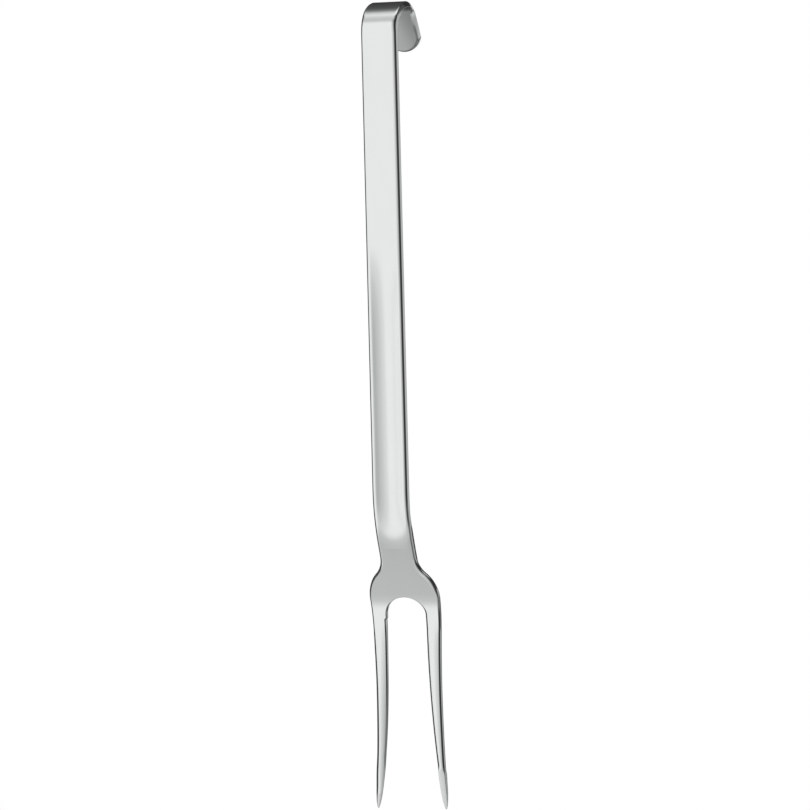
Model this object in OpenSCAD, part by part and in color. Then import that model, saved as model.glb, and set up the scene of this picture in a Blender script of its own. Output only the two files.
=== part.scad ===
// Two-tined flesh fork with a hooked strip handle, hanging from its hook.
// Millimetres. +Z is up along the handle, -Y is the front, the hook bends back towards +Y.
// The origin is the point under the hook's top where a rail carries the fork.

/* [Strip] */
// Width of the handle strip
strip_w = 22; // [18:0.5:28]
// Thickness of the steel
strip_t = 3; // [2:0.1:4]

/* [Hook] */
// Inner radius of the tight bend that sits on a rail
seat_r = 4; // [3:0.5:8]
// Inner radius of the slow bend that leads from the handle up to the seat
sweep_r = 11.6; // [9:0.2:20]
// Angle that the slow bend turns through
sweep_angle = 70; // [50:1:80]
// Angle by which the free leg flares away from the handle
leg_flare = 22; // [5:1:35]
// Length of the free leg from the seat to its rounded end
leg_len = 23; // [16:0.5:45]
// Height of the free end's rounded outline
leg_end_rise = 7.2; // [4:0.2:8.8]

/* [Handle] */
// Length of the straight handle between the hook and the neck
handle_len = 245.5; // [200:0.5:340]
// Length of the pressed trough along the straight handle
trough_len = 140.5; // [90:0.5:190]
// Length over which the trough fades in
trough_fade = 52; // [20:1:80]
// Depth of the trough at its middle
trough_depth = 1.2; // [0.6:0.1:1.8]
// Flat rim left beside the trough
trough_rim = 2.3; // [1:0.1:4]
// Share of the neck's upper bend in which the trough runs out
run_out = 0.97; // [0.85:0.01:0.98]

/* [Neck] */
// Angle by which the neck cranks back from the handle
crank_angle = 14; // [12:1:20]
// Mean radius of the upper bend of the neck
crank_r = 120; // [90:1:150]
// Length of the flat slope between the neck's two bends
slope_len = 28; // [18:0.5:30]
// Mean radius of the lower bend, where the tines straighten out
straighten_r = 82; // [80:1:160]
// Distance of the weld's middle below the upper bend
weld_at = 4.4; // [3.2:0.2:8]
// Width of the weld on the faces
weld_face = 4; // [2:0.2:5]
// Width of the weld at its root
weld_root = 1; // [0.6:0.1:1.6]

/* [Fork head] */
// Full width across the shoulders
head_w = 44.2; // [38:0.2:60]
// Radius of the round shoulders
shoulder_r = 16.8; // [12:0.2:18]
// Radius of the hollow between the neck and a shoulder
hollow_r = 12.2; // [6:0.2:16]
// Length of the plain neck between the weld and the hollows
neck_len = 0.2; // [0.2:0.2:8]
// Distance by which each side draws in from the shoulder to the waist of the tines
waist_in = 1.5; // [0.5:0.1:3]
// Distance of the waist below the shoulders
waist_drop = 47.5; // [40:0.5:70]
// Distance by which each outer edge flares from the waist to the point
points_out = 2.9; // [0:0.1:5]

/* [Tines] */
// Length of the tines from the arch between them to the points
tine_len = 112.5; // [80:0.5:160]
// Width of a tine below the arch
tine_w = 7.4; // [5:0.1:10]
// Height of the rounded arch between the tines
arch_rise = 9; // [5:0.5:14]
// Width of a tine where its point begins to round off
point_w = 2.6; // [1:0.1:3]
// Length of the ground point
point_len = 10; // [4:0.5:16]
// Length over which a tine thins towards its point
thin_len = 26; // [18:1:50]
// Thickness of a tine at the point
point_t = 0.9; // [0.6:0.1:1.6]

/* [Hidden] */
$fn = 96;
steel = [0.78, 0.79, 0.8];
weld_steel = [0.72, 0.73, 0.75];
// Straight pieces to an arc, and heights at which a tine's edge is set out
arc_steps = 16;
tine_steps = 24;
// How strongly those heights crowd towards the points
crowding = 1.5;
// Fineness of the trough's long arcs
long_arc_fn = 360;
// Length that carries a shape through everything, and how far the weld's cutter stands out of the faces
through = 2 * head_w;
weld_over = strip_t / 3;

// Hook: centres of its two bends in the YZ plane, and the circle that rounds the free end
seat_y = 0;
seat_z = -seat_r;
sweep_y = seat_y + (sweep_r - seat_r) * cos(sweep_angle);
sweep_z = seat_z - (sweep_r - seat_r) * sin(sweep_angle);
leg_end_r = (strip_w * strip_w / 4 + leg_end_rise * leg_end_rise) / (2 * leg_end_rise);
leg_end_angle = asin(strip_w / 2 / leg_end_r);

// Handle: front face and lower end of the straight stretch
front_y = sweep_y - sweep_r - strip_t;
handle_z = sweep_z - handle_len;

// Upper bend of the neck: its centre
crank_back_r = crank_r - strip_t / 2;
crank_front_r = crank_r + strip_t / 2;
crank_y = front_y + strip_t + crank_back_r;

// Trough: round section, the long arc on which it fades in, and the flatter arc on which the bend sinks past it
trough_half = strip_w / 2 - trough_rim;
trough_r = (trough_half * trough_half + trough_depth * trough_depth) / (2 * trough_depth);
fade_r = (trough_fade * trough_fade + trough_depth * trough_depth) / (2 * trough_depth);
fade_overrun = 1.1;
fade_angle = fade_overrun * asin(trough_fade / fade_r);
trough_y = front_y + trough_depth;
full_z = handle_z + trough_len - trough_fade;
trough_end = run_out * crank_front_r * sin(crank_angle);
bend_sink = crank_front_r - sqrt(crank_front_r * crank_front_r - trough_end * trough_end) - trough_depth;
run_out_r = (trough_end * trough_end + bend_sink * bend_sink) / (2 * bend_sink);
run_out_angle = asin(trough_end / run_out_r);
// The bulge's bar sinks this far into the strip, and the trough's cutter is this many times deeper
bulge_sink = strip_t / 6;
cutter_reach = 3;

// Neck: middle and lowest line of the weld, end of the slope, centre of the lower bend
weld_z = handle_z - weld_at;
weld_mid = turned(front_y + strip_t / 2, weld_z);
weld_low = turned(front_y, weld_z - weld_face / 2);
slope_end = turned(front_y, handle_z - slope_len);
straighten_front_r = straighten_r - strip_t / 2;
straighten_back_r = straighten_r + strip_t / 2;
straighten_y = slope_end[0] - straighten_front_r * cos(crank_angle);
straighten_z = slope_end[1] - straighten_front_r * sin(crank_angle);
tine_mid_y = straighten_y + straighten_r;

// Fork head: centres of the hollow and shoulder arcs, then the heights that follow from them
shoulder_x = head_w / 2 - shoulder_r;
hollow_x = strip_w / 2 + hollow_r;
hollow_z = weld_low[1] - neck_len;
shoulder_z = hollow_z - sqrt(pow(shoulder_r + hollow_r, 2) - pow(hollow_x - shoulder_x, 2));
meet_angle = atan2(hollow_z - shoulder_z, hollow_x - shoulder_x);
waist_z = shoulder_z - waist_drop;
gap_z = shoulder_z - arch_rise;
point_z = shoulder_z - tine_len;

// Fork head: half widths at the waist and the points, and the long arc from shoulder to waist
waist_half = head_w / 2 - waist_in;
gap_half = waist_half - tine_w;
inner_flare = tine_w + points_out - point_w;
waist_reach = shoulder_r - waist_in;
waist_r = (waist_reach * waist_reach + waist_drop * waist_drop - shoulder_r * shoulder_r) / (2 * waist_in);
waist_angle = asin(waist_drop / (waist_r + shoulder_r));

// A point of the straight strip [y, z] after the neck's upper bend has turned it
function turned(y, z) = [
    crank_y + (y - crank_y) * cos(crank_angle) - (z - handle_z) * sin(crank_angle),
    handle_z + (y - crank_y) * sin(crank_angle) + (z - handle_z) * cos(crank_angle)
];

// Points on a circle from one angle to another
function arc(x, y, r, from, to) = [
    for (i = [0 : arc_steps]) let (a = from + (to - from) * i / arc_steps) [x + r * cos(a), y + r * sin(a)]
];

// A list from its last value to its first
function reversed(list) = [for (i = [len(list) - 1 : -1 : 0]) list[i]];

// Heights from top to bottom, closer together towards the bottom
function heights(top, bottom) = [
    for (i = [0 : tine_steps]) bottom + (top - bottom) * pow(1 - i / tine_steps, crowding)
];

// Where the seat's bend ends, at a height above the hook's inner face
function seat_end(height) = [
    seat_y + (seat_r + height) * cos(leg_flare),
    seat_z + (seat_r + height) * sin(leg_flare)
];

// A face of the handle at a depth below its front face, as side points from the leg's end to the weld
function handle_face(depth) = let (height = strip_t - depth, bend_end = seat_end(height)) concat(
    [[bend_end[0] + leg_len * sin(leg_flare), bend_end[1] - leg_len * cos(leg_flare)]],
    arc(seat_y, seat_z, seat_r + height, leg_flare, 180 - sweep_angle),
    arc(sweep_y, sweep_z, sweep_r + height, 180 - sweep_angle, 180),
    arc(crank_y, handle_z, crank_back_r + height, 180, 180 + crank_angle),
    [turned(front_y + depth, weld_z)]
);

// How far a rounded point has closed at height z: 1 above it, 0 at the tip
function point_closing(z) = z > point_z + point_len ? 1 : sqrt(max(0, 1 - pow(1 - (z - point_z) / point_len, 2)));

// Outer and inner edge of the right tine at height z, before the point rounds off
function tine_outer(z) = waist_half + points_out * pow((waist_z - z) / (waist_z - point_z), 2);
function tine_inner(z) = gap_half + inner_flare * pow((gap_z - z) / (gap_z - point_z), 2);

// Edge of the right tine at height z: side 1 is the outer one, side -1 the inner one
function tine_edge(z, side) = let (outer = tine_outer(z), inner = tine_inner(z))
    [(outer + inner + side * (outer - inner) * point_closing(z)) / 2, z];

// Face of a tine at height z: side 1 is the back one, side -1 the front one
function tine_face(z, side) = let (s = min(1, (z - point_z) / thin_len))
    [tine_mid_y + side * (point_t + (strip_t - point_t) * sqrt(1 - pow(1 - s, 2))) / 2 * point_closing(z), z];

// Side outline carried across the whole width
module across(width) {
    translate([-width / 2, 0, 0]) rotate([90, 0, 90]) linear_extrude(width) children();
}

// Turns a shape drawn about the Z axis so that it lies about a cross axis at [y, z]
module about(y, z) {
    translate([0, y, z]) rotate([90, 0, 90]) children();
}

// Places a shape of the straight strip on the neck's slope
module on_slope() {
    translate([0, crank_y, handle_z]) rotate([crank_angle, 0, 0]) translate([0, -crank_y, -handle_z]) children();
}

// Round section of the trough or of its bulge, lowest line at a distance r from the Y axis.
// The round opens towards the axis with side -1 and away from it with side 1.
module trough_section(r, radius, depth, width, side) {
    intersection() {
        translate([r + side * radius, 0]) circle(radius, $fn = long_arc_fn);
        translate([r - depth, -width / 2]) square([2 * depth, width]);
    }
}

// Trough-shaped bar: curving out of the front above, straight down the handle, running out in the bend below
module trough_bar(radius, depth, width, offset_y, overrun) {
    about(trough_y - fade_r, full_z)
        rotate_extrude(angle = fade_angle, $fn = long_arc_fn)
            trough_section(fade_r + offset_y, radius, depth, width, -1);
    translate([0, trough_y - fade_r, handle_z])
        rotate([0, 0, 90])
            linear_extrude(full_z - handle_z) trough_section(fade_r + offset_y, radius, depth, width, -1);
    about(trough_y + run_out_r, handle_z)
        rotate([0, 0, 180])
            rotate_extrude(angle = overrun * run_out_angle, $fn = long_arc_fn)
                trough_section(run_out_r - offset_y, radius, depth, width, 1);
}

// Weld metal's hourglass outline in the straight strip's place, with its slant lines carried over the faces
module weld_outline(over) {
    reach = strip_t / 2 + over;
    root = weld_root / 2;
    face = root + (weld_face - weld_root) / 2 * reach / (strip_t / 2);
    translate([front_y + strip_t / 2, weld_z])
        polygon([[-reach, -face], [0, -root], [reach, -face], [reach, face], [0, root], [-reach, face]]);
}

// Room for the weld, cut from the handle and the head
module weld_cut() {
    on_slope() across(through) weld_outline(weld_over);
}

// Cuts the free leg to its rounded outline, square to the leg
module leg_end_cut() {
    sides_y = leg_end_rise - leg_len;
    below_y = -leg_len - strip_w;
    translate([0, seat_y, seat_z]) rotate([leg_flare + 90, 0, 0]) mirror([0, 0, 1]) linear_extrude(through)
        polygon(concat([[-strip_w, below_y], [-strip_w, sides_y]],
            arc(0, leg_end_r - leg_len, leg_end_r, 270 - leg_end_angle, 270 + leg_end_angle),
            [[strip_w, sides_y], [strip_w, below_y]]));
}

// Front outline of the head, carried through front to back
module head_front() {
    half = concat(
        [[strip_w / 2, weld_mid[1] + strip_t]],
        arc(hollow_x, hollow_z, hollow_r, 180, 180 + meet_angle),
        arc(shoulder_x, shoulder_z, shoulder_r, meet_angle, -waist_angle),
        arc(waist_half + waist_r, waist_z, waist_r, 180 - waist_angle, 180),
        [for (z = heights(waist_z, point_z)) if (z < waist_z) tine_edge(z, 1)],
        [for (z = reversed(heights(gap_z, point_z))) if (z > point_z) tine_edge(z, -1)],
        [for (i = [1 : arc_steps]) let (a = 90 * i / arc_steps) [gap_half * cos(a), gap_z + arch_rise * sin(a)]]
    );
    rotate([90, 0, 0]) linear_extrude(through, center = true)
        polygon(concat(half, [for (p = reversed(half)) if (p[0] > 0) [-p[0], p[1]]]));
}

// Side outline of the head: slope, straightening bend and thinning tines, carried across
module head_side() {
    thin_heights = heights(min(straighten_z, point_z + thin_len), point_z);
    front = concat(
        [turned(front_y, weld_z)],
        arc(straighten_y, straighten_z, straighten_front_r, crank_angle, 0),
        [for (z = thin_heights) tine_face(z, -1)]
    );
    back = concat(
        [turned(front_y + strip_t, weld_z)],
        arc(straighten_y, straighten_z, straighten_back_r, crank_angle, 0),
        [for (z = thin_heights) if (z > point_z) tine_face(z, 1)]
    );
    across(through) polygon(concat(front, reversed(back)));
}

module handle() {
    color(steel) difference() {
        union() {
            across(strip_w) polygon(concat(handle_face(0), reversed(handle_face(strip_t))));
            trough_bar(trough_r + strip_t, trough_depth + bulge_sink, strip_w - trough_rim, strip_t, 1);
        }
        trough_bar(trough_r, cutter_reach * trough_depth, strip_w, 0, fade_overrun);
        leg_end_cut();
        weld_cut();
    }
}

module fork_head() {
    color(steel) difference() {
        intersection() {
            head_front();
            head_side();
        }
        weld_cut();
    }
}

module neck_weld() {
    color(weld_steel) on_slope() across(strip_w) weld_outline(0);
}

handle();
fork_head();
neck_weld();
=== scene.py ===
# %% [markdown]
# A flesh fork is a long steel fork for turning and lifting meat. This one hangs from a hook bent into the end
# of its strip handle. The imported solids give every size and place. This lesson dresses them: each step makes one
# piece or one finish, and says what it is on the real fork and why it is made this way.

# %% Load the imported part
import math

import bmesh
import bpy
import numpy as np
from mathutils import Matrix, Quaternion, Vector


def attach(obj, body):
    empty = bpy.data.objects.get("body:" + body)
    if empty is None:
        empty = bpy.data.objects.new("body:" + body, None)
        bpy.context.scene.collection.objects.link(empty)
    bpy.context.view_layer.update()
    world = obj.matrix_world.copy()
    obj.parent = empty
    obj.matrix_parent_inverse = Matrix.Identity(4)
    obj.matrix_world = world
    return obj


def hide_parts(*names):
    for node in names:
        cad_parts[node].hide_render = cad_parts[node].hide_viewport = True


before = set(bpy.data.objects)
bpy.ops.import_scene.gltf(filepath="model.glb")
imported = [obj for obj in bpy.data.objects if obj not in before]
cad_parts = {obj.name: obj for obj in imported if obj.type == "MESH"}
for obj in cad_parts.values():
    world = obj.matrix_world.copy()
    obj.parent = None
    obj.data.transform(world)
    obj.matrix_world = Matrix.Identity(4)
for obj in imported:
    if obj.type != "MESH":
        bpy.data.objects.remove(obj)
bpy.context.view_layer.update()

# %% [markdown]
# The whole fork is one thickness of sheet, so every place on it can be given by three numbers: how far it lies
# from the middle of the strip, how far along the strip, and how high above the middle of the sheet. The sizes
# below repeat the construction's, in millimetres.

# %% Sizes of the strip, the bends and the head
MM = 0.001
STRIP_W, STRIP_T = 22.0, 3.0
SEAT_R, SWEEP_R, SWEEP_ANGLE = 4.0, 11.6, 70.0
LEG_FLARE, LEG_LEN, LEG_END_RISE = 22.0, 23.0, 7.2
HANDLE_LEN, CRANK_R, CRANK_ANGLE = 245.5, 120.0, 14.0
SLOPE_LEN, STRAIGHTEN_R = 28.0, 82.0
WELD_AT, WELD_FACE, WELD_ROOT = 4.4, 4.0, 1.0
TINE_RUN = 140.0
print("strip", STRIP_W, "x", STRIP_T, "mm")

# %% [markdown]
# The centre line runs from the free tip of the hook, over its top, down the handle and through the neck to the
# points. A bender makes it from straights and arcs, so it is built the same way: a list of lengths and curvatures
# that are added up. Following a Bezier curve would be quicker to draw, but its bends would not be true arcs. The
# slope of the neck is not quite flat: it already gives back a small share of the crank.

# %% Straights and arcs of the strip
NECK_EASE = 0.043
STRETCHES = [
    (LEG_LEN, 0.0),
    (math.radians(180 - SWEEP_ANGLE - LEG_FLARE) * (SEAT_R + STRIP_T / 2), 1 / (SEAT_R + STRIP_T / 2)),
    (math.radians(SWEEP_ANGLE) * (SWEEP_R + STRIP_T / 2), 1 / (SWEEP_R + STRIP_T / 2)),
    (HANDLE_LEN, 0.0),
    (math.radians(CRANK_ANGLE) * CRANK_R, (1 + NECK_EASE) / CRANK_R),
    (SLOPE_LEN, -2 * NECK_EASE * math.radians(CRANK_ANGLE) / SLOPE_LEN),
    (math.radians(CRANK_ANGLE) * STRAIGHTEN_R, -(1 - NECK_EASE) / STRAIGHTEN_R),
    (TINE_RUN, 0.0),
]
STARTS = np.concatenate([[0.0], np.cumsum([length for length, _ in STRETCHES])])
CURVATURE = np.array([bend for _, bend in STRETCHES])
SEAT_START, SWEEP_START, HANDLE_START, CRANK_START, SLOPE_START = STARTS[1:6]
WELD_PLACE = SLOPE_START + WELD_AT
print("strip length to the weld", round(float(WELD_PLACE), 1), "mm, straight from", round(float(HANDLE_START), 1))

# %% [markdown]
# Added up, the stretches give the place and the heading at the start of each one. One more step along an arc then
# reaches any distance between.

# %% Centre line from the hook's tip to the points
def arc_step(place, heading, length, bend):
    """Moves on by a length: a straight step, or a step round a circle whose curvature is bend."""
    turn = bend * length
    chord = np.sinc(turn / 2 / np.pi) * length
    step = np.stack([chord * np.cos(heading + turn / 2), chord * np.sin(heading + turn / 2)], -1)
    return place + step, heading + turn


def stretch_starts():
    """Place (y, z) and heading at the start of each stretch, beginning at the tip of the hook's leg."""
    flare = math.radians(LEG_FLARE)
    middle = SEAT_R + STRIP_T / 2
    place = np.array([middle * math.cos(flare) + LEG_LEN * math.sin(flare),
                      -SEAT_R + middle * math.sin(flare) - LEG_LEN * math.cos(flare)])
    heading = math.pi / 2 + flare
    places, headings = [place], [heading]
    for length, bend in STRETCHES:
        place, heading = arc_step(place, heading, length, bend)
        places.append(place)
        headings.append(heading)
    return np.array(places), np.array(headings)


START_PLACES, START_HEADINGS = stretch_starts()


def centre_line(along):
    """Place (y, z) and outward normal at distances along the strip: a stretch's start, moved on by an arc step."""
    stretch = np.clip(np.searchsorted(STARTS, along, "right") - 1, 0, len(STRETCHES) - 1)
    place, heading = START_PLACES[stretch], START_HEADINGS[stretch]
    place, heading = arc_step(place, heading, along - STARTS[stretch], CURVATURE[stretch])
    return place, np.stack([np.sin(heading), -np.cos(heading)], -1)


def along_at(height):
    """Distance along the strip at which the neck or a tine reaches a height, read from a fine table."""
    table = np.linspace(HANDLE_START, STARTS[-1], 4000)
    return np.interp(-np.asarray(height), -centre_line(table)[0][:, 1], table)


print("the centre line ends at", np.round(START_PLACES[-1], 1).tolist(), "mm")

# %% [markdown]
# A bent sheet is drawn flat first and then laid along the centre line. In a tight bend real sheet grows narrower
# outside and wider inside, and laying it does the same.

# %% Lay flat places along the centre line
SIDE_SPREAD, BEND_SOFT = 0.3, 2.0


def bend_at(along):
    """Curvature of the centre line, eased over a short length wherever one stretch meets the next."""
    marks = np.stack([STARTS[1:-1] - BEND_SOFT, STARTS[1:-1] + BEND_SOFT], -1).ravel()
    return np.interp(along, marks, np.repeat(CURVATURE, 2)[1:-1])


def lay(across, along, above):
    """Flat places to the fork's frame: out along the normal, and narrower on the stretched side of a bend."""
    across, along, above = np.broadcast_arrays(across, along, above)
    place, normal = centre_line(along)
    yz = place + above[..., None] * normal
    across = across * (1 - SIDE_SPREAD * bend_at(along) * above)
    return np.concatenate([across[..., None], yz], -1) * MM


seat_edge = lay(STRIP_W / 2, (SEAT_START + SWEEP_START) / 2, STRIP_T / 2) / MM
print("the strip is", round(2 * float(seat_edge[0]), 1), "mm wide outside the hook's seat")

# %% [markdown]
# The mesh maker takes grids of points, joins them edge to edge, and merges the points that meet at seams and poles,
# so that each piece is one closed skin. Merging with numpy keeps the points' own strip places, which the brushed
# finish follows. A Weld modifier could merge them too, but only after open edges are counted here.

# %% Make a closed mesh from grids
MERGE_STEP = 0.002 * MM


def grid_faces(rows, cols, first):
    """Four corners of each cell of a grid whose points are numbered row by row from first."""
    number = first + np.arange(rows * cols).reshape(rows, cols)
    return np.stack([number[:-1, :-1], number[1:, :-1], number[1:, 1:], number[:-1, 1:]], -1).reshape(-1, 4)


def closed_piece(name, grids, replaced, sharp=40.0):
    """One mesh from grids of (across, along, above, edge): laid, merged where points meet, and turned outwards."""
    flat, faces = [], []
    count = 0
    for grid in grids:
        across, along, above, edge = np.broadcast_arrays(*grid)
        flat.append(np.stack([across, along, above, edge], -1).reshape(-1, 4))
        faces.append(grid_faces(*across.shape, count))
        count += across.size
    flat, faces = np.concatenate(flat), np.concatenate(faces)
    points = lay(flat[:, 0], flat[:, 1], flat[:, 2])
    _, keep, merged = np.unique(np.round(points / MERGE_STEP).astype(np.int64), axis=0,
                                return_index=True, return_inverse=True)
    faces = merged.reshape(-1)[faces]
    same = faces == np.roll(faces, -1, axis=1)
    quads = faces[same.sum(1) == 0].tolist()
    for doubled in range(4):
        quads += np.delete(faces[(same.sum(1) == 1) & same[:, doubled]], doubled, axis=1).tolist()
    mesh = bpy.data.meshes.new(name)
    mesh.from_pydata(points[keep], [], quads)
    place = mesh.attributes.new("strip_place", "FLOAT_VECTOR", "POINT")
    place.data.foreach_set("vector", (flat[keep][:, :3] * MM).astype(np.float32).ravel())
    worn = mesh.attributes.new("edge", "FLOAT", "POINT")
    worn.data.foreach_set("value", flat[keep][:, 3].astype(np.float32))
    work = bmesh.new()
    work.from_mesh(mesh)
    bmesh.ops.recalc_face_normals(work, faces=work.faces)
    open_edges = sum(not e.is_manifold for e in work.edges)
    work.to_mesh(mesh)
    work.free()
    mesh.polygons.foreach_set("use_smooth", np.ones(len(mesh.polygons), bool))
    mesh.set_sharp_from_angle(angle=math.radians(sharp))
    piece = bpy.data.objects.new(name, mesh)
    bpy.context.scene.collection.objects.link(piece)
    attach(piece, "root")
    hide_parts(replaced)
    print(name, len(mesh.vertices), "points,", len(mesh.polygons), "faces, open edges:", open_edges)
    return piece


print("points within", MERGE_STEP / MM, "mm are merged")

# %% [markdown]
# Sheet that has been stamped and tumbled has no sharp corner left: its front edges are broadly rounded, and each
# round shows the dark room beside the lens as a thin line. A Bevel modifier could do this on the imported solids,
# but it would break up on their loose triangles, so the edge is drawn as a profile of its own. Seen at a slant a
# round edge hides sooner than a square one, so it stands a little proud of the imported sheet. A pair of numbers
# gives a corner: its reach across the sheet in millimetres, and its drop as a share of the thickness.

# %% Rounded edge of the sheet
GRIP_FRONT, GRIP_BACK = (2.5, 0.38), (1.2, 0.26)
EDGE_PROUD = 0.5
EDGE_TURN = np.linspace(np.pi / 2, 0, 11)
EDGE_MARK = np.concatenate([np.cos(EDGE_TURN), np.cos(EDGE_TURN[::-1])])


def corner_shape(bevel):
    """Draw-in and sinking round a corner, as shares: a quarter ellipse mixed with a straight bevel."""
    bow, sink, run = 1 - np.cos(EDGE_TURN), 1 - np.sin(EDGE_TURN), EDGE_TURN / (np.pi / 2)
    return bow + bevel * (run - bow), sink + bevel * (1 - run - sink)


def edge_profile(front, back, thickness, proud, crown=0.0, bevel=0.0, back_bevel=0.0):
    """Draw-in and height from front to back: the front corner, a flat side and the back corner."""
    front_reach, front_drop, back_reach, back_drop, thick, proud, crown, bevel, back_bevel = (
        np.asarray(value)[..., None] for value in (*front, *back, thickness, proud, crown, bevel, back_bevel))
    front_in, front_sink = corner_shape(bevel)
    back_in, back_sink = corner_shape(back_bevel)
    inset = np.concatenate([front_reach * front_in, (back_reach * back_in)[..., ::-1]], -1) - proud
    front_height = thick * (0.5 - front_drop * front_sink) - crown
    back_height = thick * (back_drop * back_sink[..., ::-1] - 0.5)
    return inset, np.concatenate([front_height, back_height], -1)


print("edges reach", GRIP_FRONT[0], "mm into the front, points round an edge:", len(EDGE_MARK))

# %% [markdown]
# The handle's strip is stiffened by a trough pressed into its front: a shallow round channel of even width that
# grows out of the flat grip and dies away in the neck's bend. Pressing moves the sheet without thinning it, so the
# same depth is taken from both faces. Where the channel meets the flat rim, the corner is soft.

# %% Depth of the pressed trough
TROUGH_DEPTH, TROUGH_RIM, TROUGH_SOFT = 1.2, 2.3, 0.16
TROUGH_START, TROUGH_GROW, GROW_POWER = HANDLE_START + 112.0, 24.0, 1.5
TROUGH_WANE, TROUGH_DIE, DIE_POWER = CRANK_START + 2.0, 31.0, 1.3


def sagitta(radius, run):
    """Depth of a circle below its tangent after a run along it."""
    return radius - np.sqrt(np.maximum(radius ** 2 - run ** 2, 0))


def smooth(value):
    """Soft step from 0 to 1, flat at both ends."""
    held = np.clip(value, 0, 1)
    return held ** 2 * (3 - 2 * held)


def trough_depth(across, along):
    """Round channel with a soft rim, times a growth that rises below its start and dies away towards its end."""
    half = STRIP_W / 2 - TROUGH_RIM
    section_r = (half ** 2 + TROUGH_DEPTH ** 2) / (2 * TROUGH_DEPTH)
    bare = TROUGH_DEPTH - sagitta(section_r, across)
    channel = (bare + np.sqrt(bare ** 2 + TROUGH_SOFT ** 2)) / 2
    grown = 1 - np.exp(-(np.maximum(along - TROUGH_START, 0) / TROUGH_GROW) ** GROW_POWER)
    dying = 1 - smooth((along - TROUGH_WANE) / TROUGH_DIE) ** DIE_POWER
    return channel * grown * dying


print("trough", round(float(trough_depth(0.0, CRANK_START - 20.0)), 2), "mm deep,",
      round(float(trough_depth(10.5, CRANK_START - 20.0)), 3), "mm at the rim")

# %% [markdown]
# The handle itself is one strip: the hook's leg with its rounded end, the tight seat that sits on a rail, the slow
# sweep, the long grip with its trough, and the start of the cranked neck. Each row of its grid is a closed loop
# round the sheet: front face, right edge, back face, left edge. At the tip of the leg the rows shrink to nothing.
# Only the grip's front was rounded broadly. The hook's outer corners are small, its leg is bevelled inside, the
# seat's inner corners are nearly square, and at the neck the sides lean in a little. Each change is a soft fade
# along the strip, given by where it starts and how long it runs.

# %% Corners along the handle
FACE_COLS = 56
HOOK_FRONT, TIP_BACK, LEG_BACK = (0.6, 0.12), (1.2, 0.42), (1.5, 0.76)
SEAT_BACK, NECK_BACK = (0.15, 0.05), (0.34, 0.58)
TIP_PROUD, HOOK_PROUD, LEG_BEVEL = 0.25, 0.42, 0.6
LEG_FADE, BEVEL_FADE, SEAT_FADE = (8.0, 7.0), (12.0, 8.0), (SEAT_START - 2.0, 5.0)
GRIP_FADE, NECK_FADE = (SWEEP_START + 6.0, 6.0), (CRANK_START, 26.0)


def between(first, last, share):
    """The value at a share of the way from first to last."""
    return first + (last - first) * share


def blend_pair(first, last, share):
    """A corner's reach and drop, each at the same share of the way from one pair to another."""
    return [between(start, end, share) for start, end in zip(first, last)]


def around_loop(edge):
    """An edge's values carried round a loop: along the front, down the right edge, back, and up the left edge."""
    face = np.ones(FACE_COLS)
    return np.concatenate([edge[..., :1] * face, edge, edge[..., -1:] * face, edge[..., ::-1], edge[..., :1]], -1)


def loop_shape(along):
    """Inset and height round the loops at distances along, fading from the hook's corners to the neck's."""
    leg, bevelled, seat, grip, neck = (
        smooth((along - start) / run) for start, run in (LEG_FADE, BEVEL_FADE, SEAT_FADE, GRIP_FADE, NECK_FADE))
    back = TIP_BACK
    for pair, share in ((LEG_BACK, leg), (SEAT_BACK, seat), (GRIP_BACK, grip), (NECK_BACK, neck)):
        back = blend_pair(back, pair, share)
    proud = between(between(TIP_PROUD, HOOK_PROUD, leg), EDGE_PROUD, grip)
    back_bevel = between(LEG_BEVEL, 1.0, bevelled) * leg * (1 - seat) + neck
    inset, height = edge_profile(
        blend_pair(HOOK_FRONT, GRIP_FRONT, grip), back, STRIP_T + 0 * grip, proud, back_bevel=back_bevel)
    return around_loop(inset), around_loop(height)


print("loops of", around_loop(EDGE_MARK).size, "points")

# %% [markdown]
# A loop needs its places across the strip as well, closer together near the edges. Where the handle meets the
# weld, its end is bevelled from both faces to a narrow root, so the last loop is folded flat onto the root line.

# %% Loops round the strip
EDGE_CROWDING = 0.35
weld_half, root_half = WELD_FACE / 2, WELD_ROOT / 2


def face_spread(count):
    """Places across a face from -1 to 1, closer together towards both edges."""
    even = np.linspace(-1, 1, count)
    return np.sin(even * np.pi / 2) * EDGE_CROWDING + even * (1 - EDGE_CROWDING)


LOOP_FACE, EDGE_ONES = face_spread(FACE_COLS), np.ones(len(EDGE_MARK))
LOOP_SHARE = np.concatenate([LOOP_FACE, EDGE_ONES, -LOOP_FACE, -EDGE_ONES, LOOP_FACE[:1]])
LOOP_MARK = np.concatenate([0 * LOOP_FACE, EDGE_MARK, 0 * LOOP_FACE, EDGE_MARK[::-1], [0.0]])


def strip_loop(half_width, along, height):
    """Closed loops round the strip, one a row: a half width spread over the loop, a distance and a height."""
    return tuple(np.broadcast_arrays(half_width * LOOP_SHARE, along, height, LOOP_MARK))


def weld_line(above):
    """Half width of the double-V weld at a height above the sheet's middle: narrow there, and wide at the faces."""
    return between(root_half, weld_half, np.abs(above) / (STRIP_T / 2))


def root_loop(inset, along):
    """A loop folded flat onto the weld's root line: front and back take the mean of their insets, so they meet."""
    edge = inset[..., FACE_COLS:FACE_COLS + len(EDGE_MARK)]
    half_width = STRIP_W / 2 - around_loop((edge + edge[..., ::-1]) / 2)
    return strip_loop(half_width, along, 0 * half_width)


print("weld", WELD_ROOT, "mm wide at its root and", WELD_FACE, "mm at the faces")

# %% [markdown]
# With the loops in hand, the handle is a list of rows. The leg's end is part of a circle, so its rows go by angle.
# Below it they go by distance, and are closer together in the bends and where the trough begins.

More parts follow.
